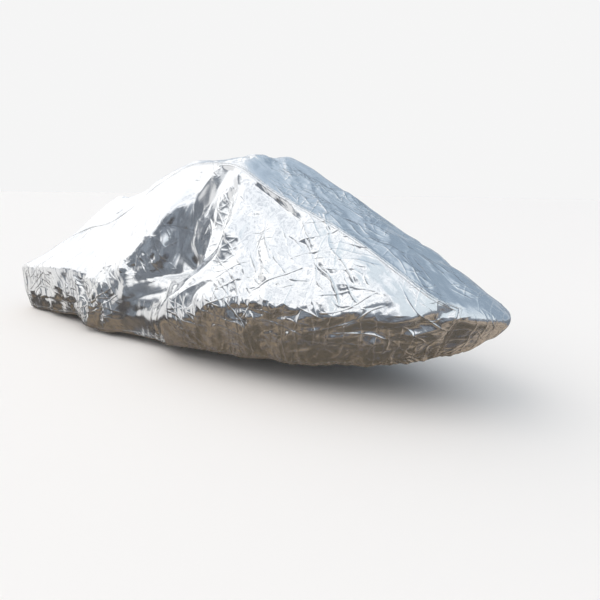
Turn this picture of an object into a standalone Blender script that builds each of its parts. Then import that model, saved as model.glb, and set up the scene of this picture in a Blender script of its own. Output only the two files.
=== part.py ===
"""Fitted cover for a small sit-on watercraft: one top panel and two side panels of silver-coated cloth,
in the shape in which they hang over the craft.

Metres, +Z up, +X to the bow, +Y to port. The origin is the rest, the point on the handlebar's centre that
the top panel's underside lies on.
"""

import bpy
import numpy as np

# ---- driving sizes ------------------------------------------------------------------------------------
CLOTH_THICKNESS = 0.003
ROUNDING = 0.10             # the length of cloth that bends over the rail and the other lines
SEAM_GAP = 0.0004
MITRE_LIMIT = 0.85          # a seam's mitre is cut no longer than one over this, however sharp the bend
REST_FROM_STERN = 2.12      # the handlebar's centre, measured from the stern edge
REST_HEIGHT = 1.657         # the top panel's underside at the handlebar, above the ground

# ---- mesh steps ---------------------------------------------------------------------------------------
STEPS_ALONG = 54
STEPS_DOWN = 16
STEPS_ACROSS = 14
TAUT_STEP = 0.004           # the spacing of the points that a taut section is rounded on
SHARP_ANGLE = 50            # degrees, past which an edge is shaded sharp

SILVER = (0.78, 0.79, 0.80, 1.0)
SILVER_METALLIC = 0.9
SILVER_ROUGHNESS = 0.3

# ---- lines that run from stern to bow ------------------------------------------------------------------
# A row for each section. x is measured from the stern edge, y outwards from the middle, z from the ground.
LINE_COLUMNS = ("seam_x", "seam_y", "seam_z", "cheek_y", "cheek_z", "waist_y", "waist_z",
                "rail_x", "rail_y", "rail_z", "tuck_y", "tuck_z", "hem_x", "hem_y", "hem_z")
STARBOARD_SECTIONS = {
    "stern corner":  (0.00, 0.545, 0.915, 0.555, 0.911, 0.564, 0.905,
                      0.00, 0.573, 0.892, 0.572, 0.720, 0.04, 0.545, 0.588),
    "stern quarter": (0.09, 0.455, 0.978, 0.515, 0.938, 0.545, 0.916,
                      0.09, 0.576, 0.895, 0.588, 0.705, 0.13, 0.543, 0.590),
    "boarding deck": (0.22, 0.375, 1.065, 0.475, 0.990, 0.526, 0.953,
                      0.22, 0.578, 0.915, 0.590, 0.715, 0.25, 0.542, 0.595),
    "seat foot":     (0.34, 0.295, 1.145, 0.430, 1.030, 0.505, 0.983,
                      0.36, 0.580, 0.935, 0.590, 0.725, 0.38, 0.540, 0.600),
    "seat back":     (0.48, 0.240, 1.200, 0.395, 1.060, 0.487, 1.005,
                      0.52, 0.580, 0.950, 0.588, 0.740, 0.55, 0.538, 0.612),
    "rear seat":     (0.72, 0.235, 1.240, 0.395, 1.085, 0.488, 1.025,
                      0.75, 0.580, 0.962, 0.580, 0.755, 0.78, 0.535, 0.635),
    "mid seat":      (0.98, 0.205, 1.345, 0.385, 1.145, 0.470, 1.045,
                      0.96, 0.560, 0.955, 0.570, 0.780, 0.96, 0.545, 0.638),
    "front seat":    (1.21, 0.200, 1.460, 0.400, 1.165, 0.505, 1.030,
                      1.18, 0.578, 0.915, 0.565, 0.760, 1.15, 0.520, 0.602),
    "seat nose":     (1.40, 0.200, 1.535, 0.495, 1.085, 0.522, 0.980,
                      1.42, 0.540, 0.875, 0.532, 0.750, 1.42, 0.512, 0.618),
    "well, aft":     (1.54, 0.200, 1.585, 0.445, 1.190, 0.472, 1.030,
                      1.55, 0.502, 0.870, 0.512, 0.740, 1.56, 0.506, 0.622),
    "foot well":     (1.66, 0.202, 1.618, 0.410, 1.285, 0.430, 1.060,
                      1.68, 0.478, 0.850, 0.500, 0.735, 1.69, 0.500, 0.628),
    "well, fore":    (1.76, 0.208, 1.628, 0.325, 1.410, 0.352, 1.110,
                      1.77, 0.488, 0.840, 0.502, 0.730, 1.78, 0.499, 0.632),
    "crest foot":    (1.86, 0.222, 1.628, 0.285, 1.440, 0.345, 1.060,
                      1.86, 0.562, 0.815, 0.552, 0.730, 1.86, 0.495, 0.637),
    "knee":          (1.95, 0.238, 1.626, 0.285, 1.450, 0.365, 1.090,
                      1.94, 0.588, 0.862, 0.570, 0.745, 1.95, 0.487, 0.645),
    "behind grip":   (2.12, 0.270, 1.615, 0.312, 1.430, 0.430, 1.130,
                      2.04, 0.592, 0.915, 0.575, 0.790, 2.07, 0.478, 0.657),
    "grip":          (2.23, 0.295, 1.592, 0.352, 1.370, 0.450, 1.165,
                      2.17, 0.590, 0.955, 0.570, 0.820, 2.19, 0.466, 0.667),
    "crest":         (2.33, 0.299, 1.546, 0.425, 1.320, 0.505, 1.140,
                      2.29, 0.588, 0.968, 0.560, 0.830, 2.30, 0.448, 0.674),
    "dash":          (2.42, 0.300, 1.500, 0.450, 1.235, 0.515, 1.107,
                      2.42, 0.580, 0.978, 0.545, 0.840, 2.42, 0.430, 0.680),
    "hood":          (2.63, 0.300, 1.414, 0.435, 1.210, 0.494, 1.107,
                      2.65, 0.552, 1.005, 0.510, 0.860, 2.62, 0.385, 0.694),
    "fore hood":     (2.85, 0.300, 1.330, 0.410, 1.170, 0.458, 1.090,
                      2.84, 0.505, 1.010, 0.460, 0.870, 2.78, 0.340, 0.706),
    "bow shoulder":  (3.03, 0.295, 1.244, 0.376, 1.125, 0.413, 1.066,
                      3.00, 0.450, 1.006, 0.400, 0.875, 2.93, 0.280, 0.722),
    "fore bow":      (3.18, 0.280, 1.155, 0.332, 1.080, 0.356, 1.042,
                      3.15, 0.380, 1.004, 0.325, 0.885, 3.06, 0.220, 0.743),
    "bow curve":     (3.30, 0.250, 1.080, 0.275, 1.043, 0.286, 1.024,
                      3.28, 0.298, 1.006, 0.250, 0.895, 3.16, 0.160, 0.767),
    "bow corner":    (3.375, 0.190, 1.038, 0.201, 1.028, 0.211, 1.018,
                      3.385, 0.220, 1.004, 0.175, 0.900, 3.24, 0.100, 0.790),
}
# The port side hangs the same way, but for the sections that the turned handlebar pulls on.
PORT_CHANGES = {
    "front seat":   (1.19, 0.200, 1.455, 0.400, 1.160, 0.500, 1.030,
                     1.17, 0.578, 0.920, 0.565, 0.760, 1.15, 0.520, 0.602),
    "seat nose":    (1.38, 0.200, 1.532, 0.430, 1.140, 0.490, 1.000,
                     1.40, 0.545, 0.880, 0.535, 0.750, 1.42, 0.512, 0.618),
    "well, aft":    (1.49, 0.202, 1.580, 0.375, 1.210, 0.420, 1.040,
                     1.53, 0.520, 0.855, 0.520, 0.742, 1.56, 0.506, 0.622),
    "foot well":    (1.58, 0.206, 1.618, 0.320, 1.290, 0.372, 1.060,
                     1.64, 0.545, 0.838, 0.532, 0.737, 1.69, 0.500, 0.628),
    "well, fore":   (1.66, 0.214, 1.636, 0.310, 1.300, 0.385, 1.060,
                     1.73, 0.572, 0.850, 0.552, 0.742, 1.78, 0.499, 0.632),
    "crest foot":   (1.74, 0.226, 1.648, 0.318, 1.290, 0.420, 1.060,
                     1.81, 0.586, 0.872, 0.565, 0.755, 1.86, 0.494, 0.638),
    "knee":         (1.82, 0.242, 1.658, 0.345, 1.280, 0.470, 1.065,
                     1.89, 0.590, 0.895, 0.572, 0.768, 1.95, 0.487, 0.645),
    "behind grip":  (1.92, 0.266, 1.668, 0.400, 1.270, 0.515, 1.080,
                     2.00, 0.592, 0.930, 0.573, 0.800, 2.07, 0.478, 0.657),
    "grip":         (2.03, 0.288, 1.668, 0.428, 1.275, 0.525, 1.095,
                     2.12, 0.590, 0.950, 0.568, 0.820, 2.20, 0.465, 0.668),
    "crest":        (2.17, 0.286, 1.622, 0.450, 1.290, 0.525, 1.120,
                     2.25, 0.588, 0.964, 0.560, 0.830, 2.30, 0.448, 0.674),
    "dash":         (2.32, 0.280, 1.545, 0.445, 1.250, 0.513, 1.113,
                     2.38, 0.582, 0.975, 0.545, 0.840, 2.40, 0.432, 0.680),
    "hood":         (2.58, 0.265, 1.420, 0.425, 1.210, 0.491, 1.105,
                     2.62, 0.556, 1.000, 0.512, 0.860, 2.60, 0.388, 0.694),
    "fore hood":    (2.82, 0.240, 1.302, 0.390, 1.155, 0.450, 1.078,
                     2.82, 0.510, 1.000, 0.462, 0.870, 2.77, 0.342, 0.706),
    "bow shoulder": (3.02, 0.212, 1.203, 0.345, 1.105, 0.399, 1.050,
                     2.99, 0.454, 0.996, 0.402, 0.875, 2.92, 0.282, 0.722),
    "fore bow":     (3.18, 0.185, 1.118, 0.290, 1.060, 0.338, 1.026,
                     3.14, 0.386, 0.992, 0.325, 0.885, 3.06, 0.220, 0.743),
    "bow curve":    (3.31, 0.160, 1.062, 0.230, 1.028, 0.265, 1.009,
                     3.28, 0.300, 0.990, 0.250, 0.890, 3.17, 0.150, 0.767),
    "bow corner":   (3.415, 0.130, 1.018, 0.155, 1.003, 0.167, 0.995,
                     3.41, 0.180, 0.988, 0.145, 0.890, 3.25, 0.085, 0.790),
}
# The top panel's middle, a row for each section: x, z, and the power of its crown from the seam to the
# middle, where 1 is a straight tent side and a higher power is flatter on top.
SPINE_COLUMNS = ("spine_x", "spine_z", "crown_power")
SPINE_SECTIONS = {
    "stern corner":  (0.00, 0.918, 2.0),
    "stern quarter": (0.10, 1.010, 9.0),
    "boarding deck": (0.20, 1.122, 4.5),
    "seat foot":     (0.31, 1.262, 2.4),
    "seat back":     (0.43, 1.405, 1.6),
    "rear seat":     (0.70, 1.440, 1.6),
    "mid seat":      (0.93, 1.482, 1.7),
    "front seat":    (1.18, 1.570, 1.8),
    "seat nose":     (1.37, 1.628, 1.9),
    "well, aft":     (1.50, 1.646, 2.0),
    "foot well":     (1.62, 1.656, 2.0),
    "well, fore":    (1.71, 1.660, 2.1),
    "crest foot":    (1.80, 1.664, 2.2),
    "knee":          (1.88, 1.665, 2.2),
    "behind grip":   (2.01, 1.666, 2.4),
    "grip":          (2.13, 1.660, 2.6),
    "crest":         (2.25, 1.608, 2.4),
    "dash":          (2.38, 1.540, 2.2),
    "hood":          (2.62, 1.434, 2.0),
    "fore hood":     (2.85, 1.336, 2.0),
    "bow shoulder":  (3.04, 1.248, 2.0),
    "fore bow":      (3.20, 1.170, 2.0),
    "bow curve":     (3.34, 1.098, 2.0),
    "bow corner":    (3.45, 1.036, 2.0),
}
# The middle of the two ends that hang down from the top panel, from its edge to the hem: the share of the way
# down, x and z.
STERN_WALL = {"edge": (0.0, 0.00, 0.918), "middle": (0.5, 0.015, 0.750), "hem": (1.0, 0.05, 0.600)}
BOW_WALL = {"edge": (0.0, 3.45, 1.036), "tip": (0.22, 3.50, 0.984), "under": (0.6, 3.445, 0.900),
            "hem": (1.0, 3.31, 0.812)}

# ---- folds ---------------------------------------------------------------------------------------------
# A fold is a straight crease between two ends. On the side panels it is seen from the side, so along is x
# and across is z; on the top panel it is seen from above, so across is y. A trough stands out by less than
# nothing.
FOLD_COLUMNS = ("from_along", "from_across", "to_along", "to_across", "stands_out", "half_width")
STARBOARD_FOLDS = {
    "crest, upper":          (2.23, 1.54, 2.31, 1.30, 0.014, 0.045),
    "crest, middle":         (2.31, 1.30, 2.22, 1.10, 0.014, 0.045),
    "crest, lower":          (2.22, 1.10, 1.84, 0.80, 0.014, 0.045),
    "well under the crest":  (2.16, 1.42, 2.12, 1.10, -0.010, 0.050),
    "wedge in the well":     (1.90, 0.99, 2.10, 1.07, 0.012, 0.035),
    "lip of the seat side":  (1.76, 1.42, 1.34, 0.92, 0.014, 0.045),
    "stern pull":            (0.88, 0.98, 1.04, 0.64, 0.020, 0.045),
    "stern pull, inner":     (1.04, 0.64, 1.22, 0.90, 0.016, 0.045),
    "stern facet":           (0.05, 0.90, 0.86, 0.96, 0.008, 0.040),
    "stern slack":           (0.20, 0.80, 0.80, 0.72, -0.010, 0.060),
    "grip fold":             (2.36, 1.49, 2.66, 1.34, -0.016, 0.035),
    "cheek trough, upper":   (2.44, 1.34, 2.56, 1.03, -0.014, 0.045),
    "cheek trough, lower":   (2.24, 1.46, 2.34, 1.32, -0.010, 0.035),
    "star, down":            (2.93, 1.23, 2.98, 1.03, -0.010, 0.030),
    "star, forward":         (2.95, 1.22, 3.18, 1.06, 0.010, 0.035),
    "star, aft":             (2.92, 1.22, 2.66, 1.12, 0.008, 0.040),
    "skirt pleat 1":         (1.46, 0.90, 1.44, 0.64, 0.010, 0.040),
    "skirt pleat 2":         (2.42, 0.94, 2.46, 0.70, 0.010, 0.035),
    "skirt pleat 3":         (2.66, 0.96, 2.62, 0.72, 0.010, 0.035),
    "skirt pleat 4":         (2.86, 0.96, 2.76, 0.73, 0.010, 0.035),
    "bow pleat 1":           (3.05, 0.95, 2.90, 0.75, 0.009, 0.030),
    "bow pleat 2":           (3.18, 0.96, 3.02, 0.77, 0.009, 0.030),
    "bow pleat 3":           (3.29, 0.97, 3.14, 0.79, 0.009, 0.028),
}
PORT_FOLDS = {
    "crest under the grip":  (1.99, 1.60, 2.10, 1.15, 0.026, 0.060),
    "crest to the hem":      (2.10, 1.15, 1.86, 0.76, 0.026, 0.060),
    "well under the crest":  (1.90, 1.38, 1.88, 1.08, -0.022, 0.090),
    "well to the hem":       (1.84, 1.04, 1.60, 0.80, -0.020, 0.080),
    "lip of the seat side":  (1.66, 1.46, 1.18, 0.92, 0.014, 0.050),
    "stern pull":            (0.74, 0.96, 0.92, 0.64, 0.018, 0.045),
    "stern pull, inner":     (0.92, 0.64, 1.12, 0.92, 0.014, 0.045),
    "stern slack":           (0.16, 0.82, 0.66, 0.71, -0.010, 0.060),
    "grip fold":             (2.16, 1.56, 2.52, 1.36, -0.014, 0.040),
    "cheek trough, upper":   (2.34, 1.38, 2.50, 1.04, -0.014, 0.050),
    "cheek ridge":           (2.62, 1.30, 2.84, 1.04, 0.012, 0.045),
    "bow trough":            (2.90, 1.18, 3.12, 1.02, -0.010, 0.040),
    "skirt pleat 1":         (0.52, 0.90, 0.50, 0.66, 0.010, 0.040),
    "skirt pleat 2":         (1.34, 0.90, 1.36, 0.66, 0.010, 0.040),
    "skirt pleat 3":         (2.32, 0.94, 2.36, 0.70, 0.010, 0.040),
    "skirt pleat 4":         (2.72, 0.96, 2.66, 0.72, 0.010, 0.035),
    "bow pleat 1":           (2.98, 0.95, 2.86, 0.75, 0.009, 0.030),
    "bow pleat 2":           (3.14, 0.95, 3.00, 0.77, 0.009, 0.030),
    "bow pleat 3":           (3.28, 0.95, 3.14, 0.79, 0.009, 0.028),
}
TOP_FOLDS = {
    "hood wrinkle 1":        (2.06, 0.22, 2.50, 0.06, 0.007, 0.030),
    "hood wrinkle 2":        (2.12, 0.24, 2.78, 0.10, 0.007, 0.030),
    "hood wrinkle 3":        (2.08, 0.16, 2.40, -0.12, 0.007, 0.030),
    "hood wrinkle 4":        (2.96, -0.20, 3.22, -0.16, 0.007, 0.030),
    "over the bar":          (2.21, -0.27, 2.03, 0.27, 0.006, 0.045),
    "bar hollow":            (2.06, 0.06, 1.98, -0.14, -0.010, 0.060),
    "sag behind the bar":    (1.80, 0.16, 1.76, -0.14, -0.012, 0.070),
    "seat step":             (1.10, 0.12, 1.06, -0.12, -0.012, 0.060),
    "rear seat dip":         (0.60, 0.12, 0.66, -0.12, -0.010, 0.060),
    "stern slope, port":     (0.36, 0.06, 0.10, 0.30, -0.012, 0.050),
    "stern slope, starboard": (0.36, -0.06, 0.08, -0.24, -0.012, 0.050),
}
FOLD_END_SHARE = 0.6        # how much of its height a fold still has at its two ends
# A slow unevenness of the slack cloth, as waves that run across each other.
WAVE_COLUMNS = ("length_along", "length_across", "phase", "height")
SLACK_WAVES = {
    "long":  (0.46, 0.31, 0.4, 0.0040),
    "cross": (-0.27, 0.38, 1.9, 0.0030),
    "short": (0.19, -0.23, 3.3, 0.0022),
}
RIM_ORDER = (1, 0, -0.3)    # a rim's cells are cut from the corner that lies first this way
SEAM_FADE = 0.05            # folds and slack die out over this much cloth beside a seam


def smooth_line(positions, values, wanted):
    """Reads a smooth line through the rows of values, given at positions, at each wanted position.

    A piecewise cubic with Fritsch and Butland's slopes: the slope at a point is the weighted harmonic mean of
    the slopes beside it, or zero where they differ in sign, so the line never swings past its points.
    """
    positions = np.asarray(positions, float)
    values = np.asarray(values, float).reshape(len(positions), -1)
    step = np.diff(positions)[:, None]
    rise = np.diff(values, axis=0) / step
    slopes = np.vstack((rise[:1], np.zeros((len(positions) - 2, values.shape[1])), rise[-1:]))
    before, after = rise[:-1], rise[1:]
    same_way = before * after > 0
    weight_before, weight_after = step[:-1] + 2 * step[1:], 2 * step[:-1] + step[1:]
    harmonic = (weight_before + weight_after) / (
        weight_before / np.where(same_way, before, 1) + weight_after / np.where(same_way, after, 1))
    slopes[1:-1] = np.where(same_way, harmonic, 0)
    span = np.clip(np.searchsorted(positions, wanted, side="right") - 1, 0, len(positions) - 2)
    t = ((wanted - positions[span]) / step[span, 0])[:, None]
    return ((1 + 2 * t) * (1 - t) ** 2 * values[span] + t * (1 - t) ** 2 * step[span] * slopes[span]
            + t * t * (3 - 2 * t) * values[span + 1] + t * t * (t - 1) * step[span] * slopes[span + 1])


def column(table, columns, name):
    """One named column of a table of sections, stern to bow."""
    return np.array([row[columns.index(name)] for row in table.values()])


def side_lines(table, side):
    """The six named lines of a side panel, from its seam to its hem; side is -1 for starboard and 1 for port.

    The cheek and the waist lie between the seam and the rail, and the tuck between the rail and the hem, so
    their x follows how far down from the one to the other they are.
    """
    at = {name: column(table, LINE_COLUMNS, name) for name in LINE_COLUMNS}
    for line, above, below in (("cheek", "seam", "rail"), ("waist", "seam", "rail"), ("tuck", "rail", "hem")):
        share = (at[above + "_z"] - at[line + "_z"]) / (at[above + "_z"] - at[below + "_z"])
        at[line + "_x"] = at[above + "_x"] + share * (at[below + "_x"] - at[above + "_x"])
    return [np.stack((at[line + "_x"], side * at[line + "_y"], at[line + "_z"]), axis=1)
            for line in ("seam", "cheek", "waist", "rail", "tuck", "hem")]


def distances(points):
    """How far along a row of points each one is."""
    steps = np.linalg.norm(np.diff(points, axis=-2), axis=-1)
    return np.concatenate((np.zeros(steps.shape[:-1] + (1,)), np.cumsum(steps, axis=-1)), axis=-1)


def stations(table, side, count):
    """The lines of a side read at count + 1 even steps from stern to bow, and how far along each section of
    the table lies.
    """
    lines = side_lines(table, side)
    where = distances(np.mean(lines, axis=0))
    wanted = np.linspace(0, where[-1], count + 1)
    return np.stack([smooth_line(where, line, wanted) for line in lines], axis=1), where / where[-1]


def rounded(corners):
    """A taut line over its corners, rounded by a running mean over ROUNDING; its two ends stay."""
    where = distances(corners)
    count = int(where[-1] / TAUT_STEP) + 2
    fine = np.linspace(0, where[-1], count)
    taut = np.stack([np.interp(fine, where, corners[:, axis]) for axis in range(3)], axis=1)
    reach = max(1, min(int(ROUNDING / TAUT_STEP / 2), count // 4))
    padded = np.concatenate((2 * taut[0] - taut[reach:0:-1], taut, 2 * taut[-1] - taut[-2:-2 - reach:-1]))
    window = np.hanning(2 * reach + 3)[1:-1]
    window /= window.sum()
    return np.stack([np.convolve(padded[:, axis], window, "valid") for axis in range(3)], axis=1)


def side_grid(table, side, along, down):
    """A side panel's outer face: along + 1 sections, each taut over its lines from seam to hem."""
    sections = []
    for corners in stations(table, side, along)[0]:
        line = rounded(corners)
        run = distances(line)
        even = np.linspace(0, run[-1], down + 1)
        sections.append(np.stack([np.interp(even, run, line[:, axis]) for axis in range(3)], axis=1))
    return np.stack(sections)


def crown(starboard, middle, port, power, across):
    """A row across the top panel: y runs evenly from seam to seam, x leaves the middle by the square of the
    share of the half-width, and z by its power.
    """
    share = np.linspace(-1, 1, across + 1)[None, :, None]
    edge = np.where(share < 0, starboard[:, None], port[:, None])
    middle = middle[:, None]
    reach = np.abs(share)
    grid = np.empty((len(starboard), across + 1, 3))
    grid[..., 0:1] = middle[..., 0:1] + (edge[..., 0:1] - middle[..., 0:1]) * reach ** 2
    grid[..., 1:2] = edge[..., 1:2] * reach
    grid[..., 2:3] = middle[..., 2:3] + (edge[..., 2:3] - middle[..., 2:3]) * reach ** power[:, None, None]
    return grid


def end_wall(middle_rows, starboard, port, across):
    """An end of the top panel that hangs down between the ends of the two side panels."""
    shares, x, z = np.array(list(middle_rows.values())).T
    wanted = distances(starboard) / distances(starboard)[-1]
    middle = smooth_line(shares, np.stack((x, 0 * x, z), axis=1), wanted)
    return crown(starboard, middle, port, np.full(len(middle), 2.0), across)


def top_grid(starboard, port, across):
    """The top panel's outer face, from the stern hem over the craft to the bow hem."""
    along = len(starboard) - 1
    _, share = stations(STARBOARD_SECTIONS, -1, along)
    wanted = np.linspace(0, 1, along + 1)
    x, z, power = (column(SPINE_SECTIONS, SPINE_COLUMNS, name) for name in SPINE_COLUMNS)
    rows = smooth_line(share, np.stack((x, 0 * x, z, power), axis=1), wanted)
    deck = crown(starboard[:, 0], rows[:, :3], port[:, 0], rows[:, 3], across)
    stern = end_wall(STERN_WALL, starboard[0], port[0], across)
    bow = end_wall(BOW_WALL, starboard[-1], port[-1], across)
    return np.concatenate((stern[:0:-1], deck, bow[1:]))


def face_normals(grid):
    """The unit normal at each point of a grid, from the steps beside it. Every grid runs from stern to bow
    and then from starboard to port, so its normals point out of the cover.
    """
    normals = np.cross(np.gradient(grid, axis=0), np.gradient(grid, axis=1))
    return normals / np.linalg.norm(normals, axis=2, keepdims=True)


def crease_height(flat, folds):
    """How far the folds lift the cloth at each point: each adds its height times a bell of the distance to
    its straight line, which fades towards the fold's ends.
    """
    height = np.zeros(flat.shape[:-1])
    for row in folds.values():
        fold = dict(zip(FOLD_COLUMNS, row))
        start = np.array((fold["from_along"], fold["from_across"]))
        run = np.array((fold["to_along"], fold["to_across"])) - start
        t = np.clip((flat - start) @ run / (run @ run), 0, 1)
        away = np.linalg.norm(flat - start - t[..., None] * run, axis=-1)
        body = FOLD_END_SHARE + (1 - FOLD_END_SHARE) * np.sin(np.pi * t)
        height += fold["stands_out"] * body * np.exp(-(away / fold["half_width"]) ** 2)
    return height


def slack_height(flat):
    """The slow unevenness of slack cloth, a sum of plane waves."""
    height = np.zeros(flat.shape[:-1])
    for row in SLACK_WAVES.values():
        wave = dict(zip(WAVE_COLUMNS, row))
        turns = flat[..., 0] / wave["length_along"] + flat[..., 1] / wave["length_across"]
        height += wave["height"] * np.sin(2 * np.pi * turns + wave["phase"])
    return height


def seam_share(grid, seam_sides):
    """Nought on the seams and one in the panel, rising smoothly over the width of SEAM_FADE."""
    share = np.ones(grid.shape[:2])
    for side in seam_sides:
        turned = {"start": grid, "end": grid[::-1], "left": grid.swapaxes(0, 1),
                  "right": grid.swapaxes(0, 1)[::-1]}[side]
        run = distances(turned.swapaxes(0, 1)).T
        fade = np.clip(run / SEAM_FADE, 0, 1)
        fade = fade * fade * (3 - 2 * fade)
        turned_back = {"start": fade, "end": fade[::-1], "left": fade.T, "right": fade[::-1].T}[side]
        share = np.minimum(share, turned_back)
    return share


def folded(grid, folds, flat_axes, seam_sides):
    """Lifts a grid along its own normals by its folds and slack."""
    flat = grid[..., flat_axes]
    height = (crease_height(flat, folds) + slack_height(flat)) * seam_share(grid, seam_sides)
    return grid + height[..., None] * face_normals(grid)


def seam_index(rows, columns, side):
    """Where a side panel's sewn edge lies in its grid: up its stern end, along its top, down its bow end."""
    top = columns - 1 if side < 0 else 0
    down = np.arange(columns - 1)[::-1] if side < 0 else np.arange(1, columns)
    row = np.concatenate((np.zeros(columns - 1, int), np.arange(rows), np.full(columns - 1, rows - 1)))
    column_index = np.concatenate((down[::-1], np.full(rows, top), down))
    return row, column_index


def sew(panel, panel_normals, top, top_normals, side):
    """Meets a side panel and the top panel along their seam, on one mitre, SEAM_GAP apart.

    Both take the mean of their two normals there, lengthened by one over the cosine of half the bend, and
    each steps back by half the gap, square to the seam and to that mean.
    """
    edge = seam_index(*panel.shape[:2], side)
    rim = (slice(None), 0 if side < 0 else -1)
    mean = panel_normals[edge] + top_normals[rim]
    mean /= np.linalg.norm(mean, axis=1, keepdims=True)
    slant = np.clip(np.sum(mean * top_normals[rim], axis=1, keepdims=True), MITRE_LIMIT, 1)
    outwards = -side * np.cross(np.gradient(top[rim], axis=0), mean)
    outwards /= np.linalg.norm(outwards, axis=1, keepdims=True)
    line = top[rim].copy()
    panel[edge] = line + outwards * SEAM_GAP / 2
    top[rim] = line - outwards * SEAM_GAP / 2
    panel_normals[edge] = mean / slant
    top_normals[rim] = mean / slant


def cut_cells(cells, first_diagonal):
    """Two triangles for each four-cornered cell, cut from its first corner where first_diagonal says so and
    from its second elsewhere.
    """
    from_first, from_second = cells[:, [[0, 1, 2], [0, 2, 3]]], cells[:, [[0, 1, 3], [1, 2, 3]]]
    return np.where(first_diagonal[:, None, None], from_first, from_second).reshape(-1, 3)


def sheet_object(name, outer, normals, material, collection):
    """A closed sheet of cloth: its outer face, its inner face one thickness below, and the rim between.

    Both faces of a cell are cut along the same diagonal, the shorter one, so a twisted cell keeps its
    thickness, and so are the rims of the two sheets that meet at a seam.
    """
    rows, columns = outer.shape[:2]
    inner = outer - CLOTH_THICKNESS * normals
    points = np.concatenate((outer.reshape(-1, 3), inner.reshape(-1, 3)))
    points -= (REST_FROM_STERN, 0, REST_HEIGHT)
    index = np.arange(rows * columns).reshape(rows, columns)
    cells = np.stack((index[:-1, :-1], index[1:, :-1], index[1:, 1:], index[:-1, 1:]), axis=2).reshape(-1, 4)
    corners = points[cells]
    diagonals = np.linalg.norm(corners[:, :2] - corners[:, 2:], axis=2)
    above = cut_cells(cells, diagonals[:, 0] < diagonals[:, 1])
    below = above[:, ::-1] + rows * columns
    rim = np.concatenate((index[0, :-1], index[:-1, -1], index[-1, :0:-1], index[:0:-1, 0]))
    edge = np.stack((rim, np.roll(rim, -1), np.roll(rim, -1) + rows * columns, rim + rows * columns), axis=1)
    aft_first = points[edge[:, 0]] @ RIM_ORDER < points[edge[:, 1]] @ RIM_ORDER
    faces = np.concatenate((above, below, cut_cells(edge, aft_first)))
    mesh = bpy.data.meshes.new(name)
    mesh.from_pydata(points.tolist(), [], faces.tolist())
    mesh.shade_smooth()
    mesh.set_sharp_from_angle(angle=np.radians(SHARP_ANGLE))
    mesh.materials.append(material)
    sheet = bpy.data.objects.new(name, mesh)
    collection.objects.link(sheet)
    return sheet


def silver_cloth():
    """Silver-coated cloth: a metallic film with a soft gloss."""
    material = bpy.data.materials.new("silver cloth")
    material.use_nodes = True
    shader = material.node_tree.nodes["Principled BSDF"]
    shader.inputs["Base Color"].default_value = SILVER
    shader.inputs["Metallic"].default_value = SILVER_METALLIC
    shader.inputs["Roughness"].default_value = SILVER_ROUGHNESS
    return material


def main():
    for old in list(bpy.data.objects):
        bpy.data.objects.remove(old, do_unlink=True)
    collection = bpy.data.collections.new("boat cover")
    bpy.context.scene.collection.children.link(collection)
    cloth = silver_cloth()

    starboard = side_grid(STARBOARD_SECTIONS, -1, STEPS_ALONG, STEPS_DOWN)
    port = side_grid({**STARBOARD_SECTIONS, **PORT_CHANGES}, 1, STEPS_ALONG, STEPS_DOWN)
    top = folded(top_grid(starboard, port, STEPS_ACROSS), TOP_FOLDS, [0, 1], ("left", "right"))
    starboard = folded(starboard[:, ::-1], STARBOARD_FOLDS, [0, 2], ("start", "end", "right"))
    port = folded(port, PORT_FOLDS, [0, 2], ("start", "end", "left"))
    normals = {"top": face_normals(top), "starboard": face_normals(starboard), "port": face_normals(port)}
    sew(starboard, normals["starboard"], top, normals["top"], -1)
    sew(port, normals["port"], top, normals["top"], 1)
    sheet_object("top_panel", top, normals["top"], cloth, collection)
    sheet_object("starboard_panel", starboard, normals["starboard"], cloth, collection)
    sheet_object("port_panel", port, normals["port"], cloth, collection)


main()
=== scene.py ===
"""Fitted boat cover of silver-coated cloth, as it hangs over a small sit-on watercraft: a top panel from the
stern hem over seat, handlebar and hood to the bow hem, and a panel down each side.

+Z up, +X to the bow, +Y to port; the origin is the handlebar rest under the top panel. The tables that shape
the cloth are in millimetres, x from the stern edge and z from the ground; all else is in metres.
sheet_object() moves a finished grid to the origin.
"""

from functools import partialmethod

import bpy
import numpy as np
from mathutils import Matrix, Vector


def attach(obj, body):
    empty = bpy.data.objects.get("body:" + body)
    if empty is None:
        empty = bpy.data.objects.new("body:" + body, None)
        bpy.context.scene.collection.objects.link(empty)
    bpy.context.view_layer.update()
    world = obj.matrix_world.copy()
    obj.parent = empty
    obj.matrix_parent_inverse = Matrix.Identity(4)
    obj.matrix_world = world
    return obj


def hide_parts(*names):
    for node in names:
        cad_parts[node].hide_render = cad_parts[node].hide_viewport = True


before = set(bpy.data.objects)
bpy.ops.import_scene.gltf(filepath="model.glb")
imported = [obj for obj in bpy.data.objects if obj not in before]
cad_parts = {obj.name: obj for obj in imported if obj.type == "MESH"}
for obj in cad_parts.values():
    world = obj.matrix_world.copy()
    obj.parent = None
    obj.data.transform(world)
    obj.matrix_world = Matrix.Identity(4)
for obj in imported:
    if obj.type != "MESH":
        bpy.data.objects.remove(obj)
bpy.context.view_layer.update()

# ---- driving sizes ----
MILLI = 1000                # millimetres in a metre
CLOTH_THICKNESS = 0.0022
ROUNDING = 0.10             # the length of cloth that bends over the rail and the other lines
REST_FROM_STERN = 2.12      # the handlebar's centre, measured from the stern edge
REST_HEIGHT = 1.657         # the top panel's underside at the handlebar, above the ground
STEPS_ALONG = 400
STEPS_DOWN = 118
STEPS_ACROSS = 72
TAUT_STEP = 0.004           # the spacing of the points that a taut section is rounded on
SEAM_FADE = 0.035           # folds, creases and gathers die out over this much cloth beside a seam
FOLD_END_SHARE = 0.6        # how much of its height a fold still has at its two ends
CREASE_REACHES = 6          # a crease is left out past this many times its reach
END_POWER = 2.0             # how the crown of the two hanging ends rises to their middle
FLOOR = -1.082              # just under the lowest hem, from the handlebar rest
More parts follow.
